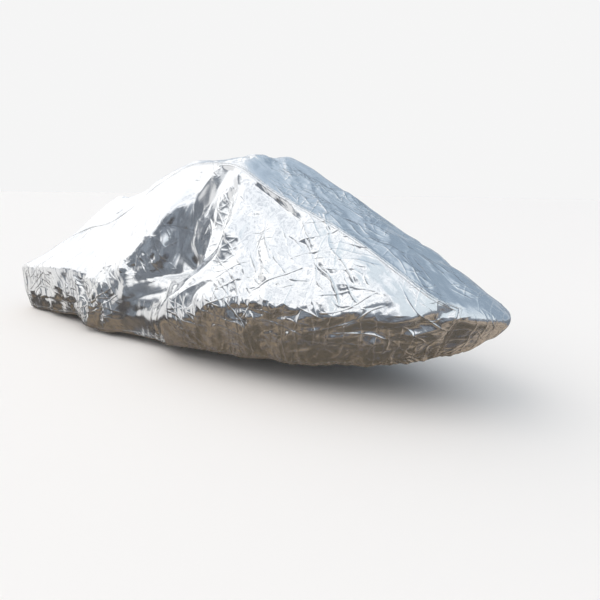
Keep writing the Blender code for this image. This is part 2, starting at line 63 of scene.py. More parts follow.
FLOOR_REACH = 400.0         # half the floor's width, so that its far edge is the horizon
CAMERA_SPOT = (2.122, -2.064, -0.190)
CAMERA_YAW = 132.253
CAMERA_PITCH = 11.513
CAMERA_ROLL = 0.801
LENS = 31.2                 # millimetres, on a sensor this wide
SENSOR = 36.0
# Each lamp's azimuth and elevation, its spread in degrees and its power.
LAMPS = {"key lamp": (-130.0, 50.0, 50.0, 0.55), "fill lamp": (30.0, 60.0, 70.0, 0.2)}

# ---- lines that run from stern to bow ----
# A row for each section. x is measured from the stern edge, y outwards from the middle, z from the ground.
LINE_COLUMNS = ("seam_x", "seam_y", "seam_z", "cheek_y", "cheek_z", "waist_y", "waist_z",
                "rail_x", "rail_y", "rail_z", "tuck_y", "tuck_z", "hem_x", "hem_y", "hem_z")
STARBOARD_SECTIONS = {
    "stern corner": (0, 545, 915, 555, 911, 564, 905, 0, 573, 892, 572, 720, 40, 545, 588),
    "stern quarter": (90, 455, 978, 515, 938, 545, 916, 90, 576, 895, 588, 705, 130, 543, 590),
    "boarding deck": (220, 375, 1065, 475, 990, 526, 953, 220, 578, 915, 590, 715, 250, 542, 595),
    "seat foot": (340, 295, 1145, 430, 1030, 505, 983, 360, 580, 935, 590, 725, 380, 540, 600),
    "seat back": (480, 240, 1200, 395, 1060, 487, 1005, 520, 580, 950, 588, 740, 550, 538, 612),
    "rear seat": (720, 235, 1240, 395, 1085, 488, 1025, 750, 580, 962, 580, 755, 780, 535, 635),
    "mid seat": (980, 205, 1345, 385, 1145, 470, 1045, 960, 560, 955, 570, 780, 960, 545, 638),
    "front seat": (1210, 200, 1460, 400, 1165, 505, 1030, 1180, 578, 915, 565, 760, 1150, 520, 602),
    "seat nose": (1400, 200, 1535, 495, 1085, 522, 980, 1420, 540, 875, 532, 750, 1420, 512, 618),
    "well, aft": (1540, 200, 1585, 445, 1190, 472, 1030, 1550, 502, 870, 512, 740, 1560, 506, 622),
    "foot well": (1660, 202, 1618, 410, 1285, 430, 1060, 1680, 478, 850, 500, 735, 1690, 500, 628),
    "well, fore": (1760, 208, 1628, 325, 1410, 352, 1110, 1770, 488, 840, 502, 730, 1780, 499, 632),
    "crest foot": (1860, 222, 1628, 285, 1440, 345, 1060, 1860, 562, 815, 552, 730, 1860, 495, 637),
    "knee": (1950, 238, 1626, 285, 1450, 365, 1090, 1940, 588, 862, 570, 745, 1950, 487, 645),
    "behind grip": (2120, 270, 1615, 312, 1430, 430, 1130, 2040, 592, 915, 575, 790, 2070, 478, 657),
    "grip": (2230, 295, 1592, 352, 1370, 450, 1165, 2170, 590, 955, 570, 820, 2190, 466, 667),
    "crest": (2330, 299, 1546, 425, 1320, 505, 1140, 2290, 588, 968, 560, 830, 2300, 448, 674),
    "dash": (2420, 300, 1500, 450, 1235, 515, 1107, 2420, 580, 978, 545, 840, 2420, 430, 680),
    "hood": (2630, 300, 1414, 435, 1210, 494, 1107, 2650, 552, 1005, 510, 860, 2620, 385, 694),
    "fore hood": (2850, 300, 1330, 410, 1170, 458, 1090, 2840, 505, 1010, 460, 870, 2780, 340, 706),
    "bow shoulder": (3030, 295, 1244, 376, 1125, 413, 1066, 3000, 450, 1006, 400, 875, 2930, 280, 722),
    "fore bow": (3180, 280, 1155, 332, 1080, 356, 1042, 3150, 380, 1004, 325, 885, 3060, 220, 743),
    "bow curve": (3300, 250, 1080, 275, 1043, 286, 1024, 3280, 298, 1006, 250, 895, 3160, 160, 767),
    "bow corner": (3375, 190, 1038, 201, 1028, 211, 1018, 3385, 220, 1004, 175, 900, 3240, 100, 790),
}
# The port side hangs the same way as far as the mid seat. From there the turned handlebar pulls it otherwise.
PORT_CHANGES = {
    "front seat": (1190, 200, 1455, 400, 1160, 500, 1030, 1170, 578, 920, 565, 760, 1150, 520, 602),
    "seat nose": (1380, 200, 1532, 430, 1140, 490, 1000, 1400, 545, 880, 535, 750, 1420, 512, 618),
    "well, aft": (1490, 202, 1580, 375, 1210, 420, 1040, 1530, 520, 855, 520, 742, 1560, 506, 622),
    "foot well": (1580, 206, 1618, 320, 1290, 372, 1060, 1640, 545, 838, 532, 737, 1690, 500, 628),
    "well, fore": (1660, 214, 1636, 310, 1300, 385, 1060, 1730, 572, 850, 552, 742, 1780, 499, 632),
    "crest foot": (1740, 226, 1648, 318, 1290, 420, 1060, 1810, 586, 872, 565, 755, 1860, 494, 638),
    "knee": (1820, 242, 1658, 345, 1280, 470, 1065, 1890, 590, 895, 572, 768, 1950, 487, 645),
    "behind grip": (1920, 266, 1668, 400, 1270, 515, 1080, 2000, 592, 930, 573, 800, 2070, 478, 657),
    "grip": (2030, 288, 1668, 428, 1275, 525, 1095, 2120, 590, 950, 568, 820, 2200, 465, 668),
    "crest": (2170, 286, 1622, 450, 1290, 525, 1120, 2250, 588, 964, 560, 830, 2300, 448, 674),
    "dash": (2320, 280, 1545, 445, 1250, 513, 1113, 2380, 582, 975, 545, 840, 2400, 432, 680),
    "hood": (2580, 265, 1420, 425, 1210, 491, 1105, 2620, 556, 1000, 512, 860, 2600, 388, 694),
    "fore hood": (2820, 240, 1302, 390, 1155, 450, 1078, 2820, 510, 1000, 462, 870, 2770, 342, 706),
    "bow shoulder": (3020, 212, 1203, 345, 1105, 399, 1050, 2990, 454, 996, 402, 875, 2920, 282, 722),
    "fore bow": (3180, 185, 1118, 290, 1060, 338, 1026, 3140, 386, 992, 325, 885, 3060, 220, 743),
    "bow curve": (3310, 160, 1062, 230, 1028, 265, 1009, 3280, 300, 990, 250, 890, 3170, 150, 767),
    "bow corner": (3415, 130, 1018, 155, 1003, 167, 995, 3410, 180, 988, 145, 890, 3250, 85, 790),
}
# The top panel's middle, a row for each section of a side: x, z, and the power of its crown from the seam to
# the middle, where 1 is a straight tent side and a higher power is flatter on top.
SPINE_SECTIONS = (
    (0, 918, 2.0), (100, 1010, 9.0), (200, 1122, 4.5), (310, 1262, 2.4), (430, 1405, 1.6), (700, 1440, 1.6),
    (930, 1482, 1.7), (1180, 1570, 1.8), (1370, 1628, 1.9), (1500, 1646, 2.0), (1620, 1656, 2.0),
    (1710, 1660, 2.1), (1800, 1664, 2.2), (1880, 1665, 2.2), (2010, 1666, 2.4), (2130, 1660, 2.6),
    (2250, 1608, 2.4), (2380, 1540, 2.2), (2620, 1434, 2.0), (2850, 1336, 2.0), (3040, 1248, 2.0),
    (3200, 1170, 2.0), (3340, 1098, 2.0), (3450, 1036, 2.0),
)
# The middle of the two ends that hang down from the top panel, from its edge to the hem: the share of the way
# down, x and z.
STERN_WALL = {"edge": (0.0, 0, 918), "middle": (0.5, 15, 750), "hem": (1.0, 50, 600)}
BOW_WALL = {"edge": (0.0, 3450, 1036), "tip": (0.22, 3500, 984), "under": (0.6, 3445, 900),
            "hem": (1.0, 3310, 812)}

# ---- folds ----
# A soft fold lies straight between two ends: along and across at the one and at the other, how far it stands
# out and half its width. On the side panels it is seen from the side, so along is x and across is z; on the
# top panel it is seen from above, so across is y. A trough stands out by less than nothing.
STARBOARD_FOLDS = {
    "hollow brow": (1660, 1330, 1980, 1565, 9, 45),
    "hollow sag": (1660, 990, 1930, 1075, -18, 58),
    "seat drawn foot": (980, 650, 1260, 670, 34, 120),
    "tuck under the hollow": (1380, 610, 1700, 640, -28, 120),
    "flare edge, aft": (1720, 755, 2120, 855, 20, 50),
    "flare edge, fore": (2120, 855, 2360, 965, 16, 45),
    "crest, upper": (2230, 1540, 2310, 1300, 14, 45),
    "crest, middle": (2310, 1300, 2220, 1100, 14, 45),
    "crest, lower": (2220, 1100, 1840, 800, 14, 45),
    "well under the crest": (2160, 1420, 2120, 1100, -10, 50),
    "wedge in the well": (1900, 990, 2100, 1070, 12, 35),
    "lip of the seat side": (1760, 1420, 1340, 920, 14, 45),
    "stern pull": (880, 980, 1040, 640, 20, 45),
    "stern pull, inner": (1040, 640, 1220, 900, 16, 45),
    "stern facet": (50, 900, 860, 960, 8, 40),
    "stern slack": (200, 800, 800, 720, -10, 60),
    "grip fold": (2360, 1490, 2660, 1340, -16, 35),
    "cheek trough, upper": (2440, 1340, 2560, 1030, -14, 45),
    "cheek trough, lower": (2240, 1460, 2340, 1320, -10, 35),
    "star, down": (2930, 1230, 2980, 1030, -10, 30),
    "star, forward": (2950, 1220, 3180, 1060, 10, 35),
    "star, aft": (2920, 1220, 2660, 1120, 8, 40),
    "skirt pleat 1": (1460, 900, 1440, 640, 10, 40),
    "skirt pleat 2": (2420, 940, 2460, 700, 10, 35),
    "skirt pleat 3": (2660, 960, 2620, 720, 10, 35),
    "skirt pleat 4": (2860, 960, 2760, 730, 10, 35),
    "bow pleat 1": (3050, 950, 2900, 750, 9, 30),
    "bow pleat 2": (3180, 960, 3020, 770, 9, 30),
    "bow pleat 3": (3290, 970, 3140, 790, 9, 28),
}
PORT_FOLDS = {
    "crest under the grip": (1990, 1600, 2100, 1150, 26, 60),
    "crest to the hem": (2100, 1150, 1860, 760, 26, 60),
    "well under the crest": (1900, 1380, 1880, 1080, -22, 90),
    "well to the hem": (1840, 1040, 1600, 800, -20, 80),
    "lip of the seat side": (1660, 1460, 1180, 920, 14, 50),
    "stern pull": (740, 960, 920, 640, 18, 45),
    "stern pull, inner": (920, 640, 1120, 920, 14, 45),
    "stern slack": (160, 820, 660, 710, -10, 60),
    "grip fold": (2160, 1560, 2520, 1360, -14, 40),
    "cheek trough, upper": (2340, 1380, 2500, 1040, -14, 50),
    "cheek ridge": (2620, 1300, 2840, 1040, 12, 45),
    "bow trough": (2900, 1180, 3120, 1020, -10, 40),
    "skirt pleat 1": (520, 900, 500, 660, 10, 40),
    "skirt pleat 2": (1340, 900, 1360, 660, 10, 40),
    "skirt pleat 3": (2320, 940, 2360, 700, 10, 40),
    "skirt pleat 4": (2720, 960, 2660, 720, 10, 35),
    "bow pleat 1": (2980, 950, 2860, 750, 9, 30),
    "bow pleat 2": (3140, 950, 3000, 770, 9, 30),
    "bow pleat 3": (3280, 950, 3140, 790, 9, 28),
}
TOP_FOLDS = {
    "hood wrinkle 1": (2060, 220, 2500, 60, 7, 30),
    "hood wrinkle 2": (2120, 240, 2780, 100, 7, 30),
    "hood wrinkle 3": (2080, 160, 2400, -120, 7, 30),
    "hood wrinkle 4": (2960, -200, 3220, -160, 7, 30),
    "over the bar": (2210, -270, 2030, 270, 6, 45),
    "bar hollow": (2060, 60, 1980, -140, -10, 60),
    "sag behind the bar": (1800, 160, 1760, -140, -12, 70),
    "seat step": (1100, 120, 1060, -120, -12, 60),
    "rear seat dip": (600, 120, 660, -120, -10, 60),
    "stern slope, port": (360, 60, 100, 300, -12, 50),
    "stern slope, starboard": (360, -60, 80, -240, -12, 50),
}
# A slow unevenness of the slack cloth, as waves that run across each other: their lengths along and across,
# their height, and their phase in radians.
SLACK_WAVES = {
    "long": (460, 310, 4, 0.4),
    "cross": (-270, 380, 3, 1.9),
    "short": (190, -230, 2.2, 3.3),
}

# ---- creases ----
# A sharp fold along a bent line: how far it stands out, its reach to the left and right of the line as one
# walks along it, then the line's points, along and across for each. It fades out at its two ends.
STARBOARD_CREASES = {
    "stern edge": (-6, 20, 30, 123, 891, 55, 594),
    "corner pleat": (7, 22, 14, 209, 920, 160, 656),
    "stern band": (-6, 12, 40, 150, 680, 501, 714, 648, 713, 972, 760),
    "stern tension": (-10, 34, 12, 866, 971, 1135, 725),
    "tension knot": (7, 14, 14, 850, 966, 867, 923, 809, 882),
    "long fan": (5, 12, 20, 406, 875, 787, 799),
    "short fan": (5, 12, 16, 595, 845, 802, 794),
    "fan at the seat": (10, 16, 24, 1253, 817, 1149, 705, 1082, 631),
    "second fan": (9, 22, 14, 1270, 819, 1271, 704, 1295, 647),
    "seat crease": (-5, 14, 22, 855, 1100, 1042, 1018),
    "second seat crease": (-5, 14, 22, 1028, 1065, 1204, 958),
    "seat tick": (-6, 10, 10, 1197, 976, 1190, 1010),
    "hollow foot": (-30, 110, 20, 1640, 985, 1780, 1025, 1930, 1070, 2060, 1120),
    "hollow second fold": (-12, 90, 25, 1480, 850, 1640, 890, 1780, 930),
    "hollow low fold": (-10, 80, 16, 1480, 760, 1600, 800, 1740, 850),
    "wedge": (10, 12, 30, 1767, 949, 2146, 1048, 2190, 1070),
    "hollow level": (-4, 12, 30, 1680, 1289, 2079, 1202),
    "hollow fore edge": (-14, 30, 100, 2120, 1520, 2180, 1330, 2160, 1210, 2030, 1100),
    "hollow fore line": (-2, 12, 14, 2055, 1480, 1901, 1376, 1901, 1342, 1921, 1223),
    "hollow branch": (-3, 12, 12, 1901, 1359, 1796, 1261),
    "hollow aft line": (7, 12, 20, 1828, 1430, 1766, 1303),
    "grip tick": (6, 12, 12, 2099, 1471, 2143, 1416),
    "grip fold": (-17, 20, 34, 2351, 1515, 2425, 1484, 2528, 1419, 2670, 1348),
    "cheek top fold": (-7, 12, 20, 2282, 1453, 2331, 1408, 2304, 1358, 2335, 1337),
    "cheek level tick": (-6, 10, 14, 2350, 1356, 2439, 1375),
    "upper tick": (-3, 10, 16, 2322, 1276, 2292, 1199),
    "middle tick": (-3, 10, 16, 2300, 1174, 2262, 1109),
    "lower tick": (-3, 10, 16, 2336, 1103, 2250, 1054),
    "cheek trough": (-12, 22, 30, 2461, 1333, 2479, 1252, 2557, 1136, 2612, 1024),
    "trough side": (7, 12, 18, 2585, 1239, 2589, 1161, 2601, 1103),
    "long cheek": (-9, 12, 22, 2615, 1287, 2744, 1252, 2815, 1200, 2875, 1123),
    "cheek short line": (-9, 16, 12, 2806, 1316, 2900, 1233),
    "small tick": (-6, 10, 10, 2772, 1155, 2747, 1123),
    "under the seam": (-5, 14, 24, 2714, 1372, 2806, 1320, 2985, 1245, 3073, 1200),
    "star level ray": (6, 14, 24, 2924, 1218, 3122, 1147),
    "star fore ray": (6, 14, 20, 2939, 1209, 2995, 1156, 3065, 1088),
    "star steep ray": (5, 14, 18, 2939, 1209, 2952, 1084),
    "star aft ray": (-5, 12, 18, 2884, 1130, 2942, 1155),
    "fore node ray": (6, 12, 18, 3108, 1110, 3180, 1053),
    "fore node long ray": (4, 12, 20, 3118, 1140, 3256, 1046),
    "bow ray": (3, 12, 16, 3288, 1084, 3328, 1037),
    "rail fold": (-7, 12, 26, 3010, 1015, 3087, 1028, 3160, 1040),
    "rail slant": (8, 14, 16, 2894, 937, 2963, 1002),
    "rail edge": (6, 16, 20, 2401, 1003, 2629, 1023, 2778, 1013),
    "crest foot": (12, 20, 34, 2336, 1097, 2106, 974, 1687, 753),
    "skirt fold 1": (9, 18, 22, 2134, 979, 2141, 828, 2090, 700),
    "skirt fold 2": (8, 16, 22, 2245, 1000, 2232, 849),
    "skirt fold 3": (8, 18, 20, 2358, 1016, 2341, 865, 2290, 740),
    "skirt fold 4": (7, 14, 18, 2739, 1003, 2672, 811),
    "skirt slack": (6, 16, 14, 1730, 754, 1901, 715),
    "skirt fold 5": (6, 14, 16, 2121, 853, 2055, 698),
    "skirt blue place": (-8, 20, 28, 2581, 884, 2606, 802),
    "skirt streak": (7, 12, 18, 2351, 759, 2524, 810),
    "skirt long streak": (-9, 16, 26, 2960, 905, 3100, 935, 3200, 959, 3320, 990),
    "bow pleat 1": (9, 12, 16, 3420, 975, 3207, 879),
    "bow pleat 2": (9, 12, 16, 3440, 955, 3270, 850),
    "bow pleat 3": (8, 10, 14, 3400, 985, 3130, 905),
    "bow pleat 4": (9, 12, 12, 3440, 940, 3330, 840),
    "bow pleat 5": (9, 12, 14, 3380, 950, 3060, 830),
    "bow pleat 6": (8, 10, 14, 3300, 960, 2960, 820),
}
PORT_CREASES = {
    "stern tension": (-9, 30, 14, 780, 985, 1060, 730),
    "corner pleat": (6, 20, 14, 190, 920, 150, 660),
    "stern band": (-5, 14, 36, 200, 690, 560, 720, 900, 750),
    "fan at the seat": (9, 16, 22, 1310, 830, 1240, 720, 1190, 640),
    "wedge": (9, 12, 28, 1700, 930, 2050, 1030, 2150, 1070),
    "hollow level": (-4, 12, 28, 1720, 1260, 2060, 1230),
    "hollow fore line": (7, 14, 22, 2030, 1470, 1930, 1360, 1940, 1220),
    "grip fold": (-11, 16, 24, 2360, 1500, 2480, 1450, 2640, 1360),
    "cheek trough": (-11, 20, 30, 2430, 1320, 2500, 1210, 2590, 1040),
    "long cheek": (-9, 12, 22, 2650, 1300, 2780, 1220, 2860, 1100),
    "star level ray": (10, 14, 22, 2880, 1230, 3090, 1150),
    "star fore ray": (9, 14, 20, 2890, 1225, 2960, 1140, 3040, 1075),
    "star steep ray": (8, 14, 18, 2890, 1225, 2880, 1080),
    "crest foot": (11, 20, 32, 2310, 1090, 2080, 960, 1720, 750),
    "skirt fold 1": (8, 18, 22, 2160, 980, 2150, 820, 2110, 690),
    "skirt fold 2": (8, 16, 20, 2420, 1000, 2390, 830),
    "skirt fold 3": (7, 14, 18, 2800, 1000, 2730, 810),
    "skirt long streak": (-8, 16, 24, 2900, 900, 3130, 945, 3290, 985),
    "bow pleat 1": (6, 12, 16, 3420, 975, 3200, 870),
    "bow pleat 2": (5, 12, 14, 3430, 950, 3260, 840),
}
TOP_CREASES = {
    "seat side": (-10, 14, 24, 540, -225, 811, -181, 1022, -145, 1280, -180),
    "seat port": (-5, 16, 26, 700, 150, 1150, 200, 1500, 180),
    "seat 1": (5, 16, 22, 250, -100, 620, 20, 980, 50),
    "seat 2": (5, 14, 20, 900, -120, 1260, -50, 1600, -90),
    "handlebar wrinkle": (8, 14, 22, 2197, 36, 2368, -81),
    "handlebar aft fold": (-7, 14, 24, 1960, -200, 2000, 0, 1970, 210),
    "hood wrinkle 1": (9, 12, 20, 2301, 55, 2435, -16, 2640, -183, 2807, -220),
    "hood wrinkle 2": (9, 14, 20, 2363, 84, 2682, -107, 2764, -134),
    "hood wrinkle 3": (9, 12, 20, 2619, -118, 2710, -177, 2843, -214, 2971, -235),
    "hood wrinkle 4": (9, 14, 18, 2767, -16, 2870, -129, 2971, -214),
    "hood wrinkle 5": (9, 12, 18, 2850, -59, 2970, -90, 3019, -122),
    "hood wrinkle 6": (8, 12, 16, 3064, -179, 3127, -113, 3166, -132),
    "hood wrinkle 7": (9, 12, 18, 3100, -220, 3293, -200),
    "hood port wrinkle 1": (6, 14, 20, 2320, 100, 2560, 180, 2830, 200),
    "hood port wrinkle 2": (5, 12, 20, 2500, 60, 2760, 130, 3040, 150),
    "hood port wrinkle 3": (5, 12, 18, 2900, 30, 3120, 90, 3280, 110),
}
# Crumpled cloth: a box of the panel, low and high along it and across it; the mean length, height and reach
# of the short creases in it; then their count, their lean and its spread in degrees, and how strong the
# finest crinkles are. Where the count is nought, a row only sets those. A later row wins where boxes overlap.
SIDE_CRUMPLE = {
    "stern skirt": (50, 1000, 660, 920, 120, 2.2, 9, 80, -55, 25, 1.1),
    "seat foot": (980, 1270, 620, 920, 160, 7.5, 12, 50, 76, 16, 0.9),
    "stern deck": (100, 1200, 920, 1100, 180, 2.5, 13, 30, -15, 35, 0.35),
    "seat": (400, 1500, 1050, 1400, 260, 1.5, 12, 40, 35, 30, 0.25),
    "hollow": (1380, 2100, 680, 1500, 180, 1.6, 12, 20, 60, 45, 0.14),
    "hollow lower edge": (1380, 1660, 1010, 1110, 60, 5, 9, 34, 20, 60, 0.6),
    "hollow upper edge": (1320, 1660, 1190, 1340, 70, 4.2, 9, 34, 50, 50, 0.5),
    "crest": (1980, 2320, 960, 1480, 140, 2, 12, 24, -45, 40, 0.4),
    "cheek": (2320, 3250, 1020, 1450, 150, 3, 10, 150, -45, 50, 1.1),
    "crest side": (2200, 2420, 1120, 1480, 140, 0, 10, 0, 0, 0, 0.4),
    "grip fold": (2360, 2680, 1320, 1540, 140, 0, 10, 0, 0, 0, 0.15),
    "mid skirt": (2000, 2600, 650, 920, 160, 4, 9, 80, 75, 25, 1.2),
    "rail": (2300, 2800, 930, 1030, 70, 5, 10, 70, 10, 60, 1.2),
    "fore skirt": (2500, 3380, 740, 990, 340, 5, 9, 120, 24, 9, 1.1),
}
TOP_CRUMPLE = {
    "hood": (2150, 3400, -280, 280, 300, 3.4, 9, 150, -28, 14, 1.1),
    "handlebar": (1900, 2300, -280, 280, 100, 3, 10, 60, 60, 60, 0.8),
    "seat top": (200, 1900, -240, 240, 220, 2.2, 12, 70, 10, 35, 0.35),
    "stern wall": (-320, 50, -550, 550, 120, 3, 12, 60, 10, 35, 0.8),
    "bow wall": (3450, 3650, -200, 200, 70, 2.4, 10, 20, 20, 50, 0.7),
}
# How a short crease varies from its patch's mean: the length of each arm, the height and the reach, as shares
# of it, and how far an arm leans off the other, in radians.
ARM_SHARES = (0.25, 1.2)
HEIGHT_SHARES = (0.3, 1.4)
REACH_SHARES = (0.7, 2.2)
ARM_BEND = 0.35
CRINKLE = 0.6               # the strength of the finest crinkles elsewhere
PATCH_FADE = 0.10           # how gradually it changes at a patch's sides
# Gathers of the elastic hem, as ripples along it: their length, how far they reach up the cloth, their
# height, and their phase in radians.
GATHERS = {
    "fine": (34, 55, 1.6, 0.3),
    "coarse": (83, 100, 2.6, 1.7),
}
WANDER = 0.35               # the ripples drift by this share of a turn
WANDER_LENGTHS = 7.3        # over this many of their lengths


# ---- the panels' grids ----
def smooth_line(positions, values, wanted):
    """Reads a smooth line through rows of values, given at positions, at each wanted position. Its slope at a
    row is the weighted harmonic mean of the slopes beside it, or nought where they differ in sign, so the
    line never swings past its rows.
    """
    step = np.diff(positions)[:, None]
    rise = np.diff(values, axis=0) / step
    before, after = rise[:-1], rise[1:]
    same_way = before * after > 0
    weight_before, weight_after = step[:-1] + 2 * step[1:], 2 * step[:-1] + step[1:]
    harmonic = (weight_before + weight_after) / (
        weight_before / np.where(same_way, before, 1) + weight_after / np.where(same_way, after, 1))
    slopes = np.vstack((rise[:1], np.where(same_way, harmonic, 0), rise[-1:]))
    span = np.clip(np.searchsorted(positions, wanted, side="right") - 1, 0, len(positions) - 2)
    t = ((wanted - positions[span]) / step[span, 0])[:, None]
    return ((1 + 2 * t) * (1 - t) ** 2 * values[span] + t * (1 - t) ** 2 * step[span] * slopes[span]
            + t * t * (3 - 2 * t) * values[span + 1] + t * t * (t - 1) * step[span] * slopes[span + 1])


def side_lines(table, side):
    """The six named lines of a side panel, from its seam to its hem; side is -1 for starboard and 1 for port.

    The cheek and the waist lie between the seam and the rail, and the tuck between the rail and the hem, so
    their x follows how far down from the one to the other they are.
    """
    at = dict(zip(LINE_COLUMNS, np.array(list(table.values())).T / MILLI))
    for line, above, below in (("cheek", "seam", "rail"), ("waist", "seam", "rail"), ("tuck", "rail", "hem")):
        share = (at[above + "_z"] - at[line + "_z"]) / (at[above + "_z"] - at[below + "_z"])
        at[line + "_x"] = at[above + "_x"] + share * (at[below + "_x"] - at[above + "_x"])
    return [np.stack((at[line + "_x"], side * at[line + "_y"], at[line + "_z"]), axis=1)
            for line in ("seam", "cheek", "waist", "rail", "tuck", "hem")]


def distances(points):
    """How far along a row of points each one is."""
    steps = np.linalg.norm(np.diff(points, axis=-2), axis=-1)
    return np.concatenate((np.zeros(steps.shape[:-1] + (1,)), np.cumsum(steps, axis=-1)), axis=-1)


def stations(table, side):
    """A side's lines, read at even steps from stern to bow, and how far along it each section lies."""
    lines = side_lines(table, side)
    where = distances(np.mean(lines, axis=0))
    wanted = np.linspace(0, where[-1], STEPS_ALONG + 1)
    return np.stack([smooth_line(where, line, wanted) for line in lines], axis=1), where / where[-1]


def evenly(line, count):
    """A row of points at even distances along a line of straight runs."""
    where = distances(line)
    wanted = np.linspace(0, where[-1], count)
    return np.stack([np.interp(wanted, where, values) for values in line.T], axis=1)


def rounded(corners):
    """A taut line over its corners, rounded by a running mean over ROUNDING; its two ends stay."""
    taut = evenly(corners, int(distances(corners)[-1] / TAUT_STEP) + 2)
    reach = max(1, min(int(ROUNDING / TAUT_STEP / 2), len(taut) // 4))
    padded = np.concatenate((2 * taut[0] - taut[reach:0:-1], taut, 2 * taut[-1] - taut[-2:-2 - reach:-1]))
    window = np.hanning(2 * reach + 3)[1:-1]
    window /= window.sum()
    return np.stack([np.convolve(padded[:, axis], window, "valid") for axis in range(3)], axis=1)


def side_grid(table, side):
    """A side panel's outer face: a row of sections, each taut over its lines from seam to hem."""
    return np.stack([evenly(rounded(corners), STEPS_DOWN + 1) for corners in stations(table, side)[0]])


def crown(starboard, middle, port, power):
    """Rows across the top panel, which leave the middle by a power of the share of the half-width: y by the
    first, so evenly from seam to seam, x by the second, and z by the row's own.
    """
    share = np.linspace(-1, 1, STEPS_ACROSS + 1)[None, :, None]
    edge = np.where(share < 0, starboard[:, None], port[:, None])
    powers = np.stack((0 * power + 2, 0 * power + 1, power), axis=1)[:, None]
    return middle[:, None] + (edge - middle[:, None]) * np.abs(share) ** powers


def end_wall(middle_rows, starboard, port):
    """An end of the top panel that hangs down between the ends of the two side panels."""
    shares, x, z = (np.array(list(middle_rows.values())) / (1, MILLI, MILLI)).T
    wanted = distances(starboard) / distances(starboard)[-1]
    middle = smooth_line(shares, np.stack((x, 0 * x, z), axis=1), wanted)
    return crown(starboard, middle, port, np.full(len(middle), END_POWER))


def top_grid(starboard, port):
    """The top panel's outer face, from the stern hem over the craft to the bow hem."""
    _, share = stations(STARBOARD_SECTIONS, -1)
    wanted = np.linspace(0, 1, STEPS_ALONG + 1)
    x, z, power = (np.array(SPINE_SECTIONS) / (MILLI, MILLI, 1)).T
    rows = smooth_line(share, np.stack((x, 0 * x, z, power), axis=1), wanted)
    deck = crown(starboard[:, 0], rows[:, :3], port[:, 0], rows[:, 3])
    stern = end_wall(STERN_WALL, starboard[0], port[0])
    bow = end_wall(BOW_WALL, starboard[-1], port[-1])
    return np.concatenate((stern[:0:-1], deck, bow[1:]))


def face_normals(grid):
    """The unit normal at each point of a grid, from the steps beside it. Every grid runs from stern to bow
    and then from starboard to port, so its normals point out of the cover.
    """
    normals = np.cross(np.gradient(grid, axis=0), np.gradient(grid, axis=1))
    return normals / np.linalg.norm(normals, axis=2, keepdims=True)


def nearest(grid, sides):
    """How far each point lies from the nearest of the named sides of its grid."""
    along, across = distances(grid.swapaxes(0, 1)).T, distances(grid)
    away = {"start": along, "end": along[-1:] - along, "left": across, "right": across[:, -1:] - across}
    return np.min([away[side] for side in sides], axis=0)


def seam_share(grid, seam_sides):
    """Nought on the seams and one in the panel, rising smoothly over the width of SEAM_FADE."""
    fade = np.clip(nearest(grid, seam_sides) / SEAM_FADE, 0, 1)
    return fade * fade * (3 - 2 * fade)


def top_flat(grid):
    """Where the top panel's points lie: x over the deck, and past it the length that hangs down each end."""
    run = distances(grid.swapaxes(0, 1)).T
    first, last = STEPS_DOWN, STEPS_DOWN + STEPS_ALONG
    along = grid[..., 0].copy()
    along[:first] = along[first] + run[:first] - run[first]
    along[last + 1:] = along[last] + run[last + 1:] - run[last]
    return np.stack((along, grid[..., 1]), axis=-1)


# ---- what lifts the cloth ----
def slack_height(flat):
    """The slow unevenness of slack cloth, a sum of plane waves."""
    height = np.zeros(flat.shape[:-1])
    for *lengths, phase in SLACK_WAVES.values():
        length_along, length_across, stands_out = np.array(lengths) / MILLI
        turns = flat[..., 0] / length_along + flat[..., 1] / length_across
        height += stands_out * np.sin(2 * np.pi * turns + phase)
    return height


def fold_height(flat, folds):
    """How far the soft folds lift the cloth at each point: each adds its height times a bell of the distance
    to its straight line, which fades towards the fold's ends.
    """
    height = np.zeros(flat.shape[:-1])
    for row in folds.values():
        start, end, (stands_out, half_width) = np.array(row).reshape(3, 2) / MILLI
        run = end - start
        t = np.clip((flat - start) @ run / (run @ run), 0, 1)
        away = np.linalg.norm(flat - start - t[..., None] * run, axis=-1)
        body = FOLD_END_SHARE + (1 - FOLD_END_SHARE) * np.sin(np.pi * t)
        height += stands_out * body * np.exp(-(away / half_width) ** 2)
    return height


def crease_height(flat, creases):
    """How far the sharp creases lift the cloth: each adds its height times exp(-distance / reach), with a
    reach of its own on each side of its line, times the root of 4s(1 - s) for the share s of the way along.
    """
    height = np.zeros(flat.shape[:-1])
    for stands_out, left, right, line in creases:
        share = distances(line) / distances(line)[-1]
        margin = CREASE_REACHES * max(left, right)
        near = ((flat > line.min(axis=0) - margin) & (flat < line.max(axis=0) + margin)).all(axis=-1)
        points = flat[near]
        best = np.zeros(len(points))
        for first in range(len(line) - 1):
            run = line[first + 1] - line[first]
            offset = points - line[first]
            t = np.clip(offset @ run / (run @ run), 0, 1)
            away = np.linalg.norm(offset - t[:, None] * run, axis=1)
            turn = run[0] * offset[:, 1] - run[1] * offset[:, 0]
            s = share[first] + t * (share[first + 1] - share[first])
            body = np.sqrt(4 * s * (1 - s))
            best = np.maximum(best, body * np.exp(-away / np.where(turn > 0, left, right)))
        height[near] += stands_out * best
    return height


def hand_placed(creases):
    """A table of creases in metres."""
    rows = [np.array(row) / MILLI for row in creases.values()]
    return [(*row[:3], row[3:].reshape(-1, 2)) for row in rows]


